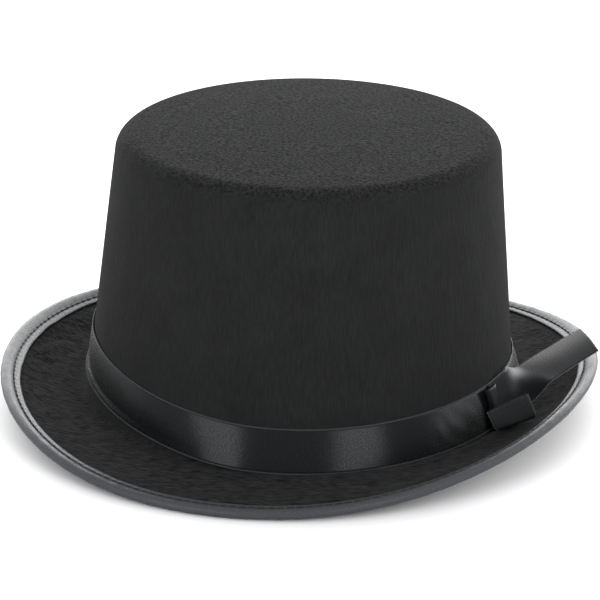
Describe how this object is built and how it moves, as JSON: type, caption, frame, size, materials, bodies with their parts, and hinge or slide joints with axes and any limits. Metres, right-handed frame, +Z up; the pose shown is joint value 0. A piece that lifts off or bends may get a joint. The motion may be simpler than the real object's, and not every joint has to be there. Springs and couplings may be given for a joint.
{
  "type": "top hat",
  "caption": "Stiff moulded-felt top hat: a tapering flat-topped crown, a brim with curled sides and a bound edge, and a satin ribbon with loose ends.",
  "frame": {"origin": "on the table under the middle of the brim", "axes": "+Z up; the front of the hat looks along -Y, and +X is the wearer's left side, where the ribbon's loose ends are"},
  "size_m": [0.2621, 0.3076, 0.1258],
  "materials": {
    "felt": "matt black brushed polyester felt",
    "satin_ribbon": "black satin ribbon with picot edges",
    "binding": "grey-black glossy satin bias binding",
    "thread": "black polyester sewing thread",
    "glue": "cloudy hot-melt glue",
    "sweatband": "black ribbed grosgrain",
    "label": "blank woven label"
  },
  "bodies": {
    "hat": {"felt_body": "felt", "edge_binding": "binding", "binding_needle_thread": "thread", "binding_bobbin_thread": "thread", "hat_band": "satin_ribbon", "ribbon_knot": "satin_ribbon", "long_end_root": "satin_ribbon", "short_end_root": "satin_ribbon", "band_glue_front": "glue", "band_glue_back_left": "glue", "band_glue_back": "glue", "band_glue_left": "glue", "sweatband": "sweatband", "sweatband_thread": "thread", "size_label": "label"},
    "long_end": {"ribbon_long_end": "satin_ribbon"},
    "short_end": {"ribbon_short_end": "satin_ribbon"}
  },
  "joints": [
    {"name": "long_end_lift", "type": "hinge", "parent": "hat", "child": "long_end", "pos_m": [0.1043, -0.0017, 0.0194], "axis": [0.8846, -0.4357, -0.1665], "range_deg": [0, 75]},
    {"name": "short_end_fold", "type": "hinge", "parent": "hat", "child": "short_end", "pos_m": [0.1056, -0.0395, 0.0098], "axis": [0.8805, 0.3805, 0.2826], "range_deg": [0, 60]}
  ]
}
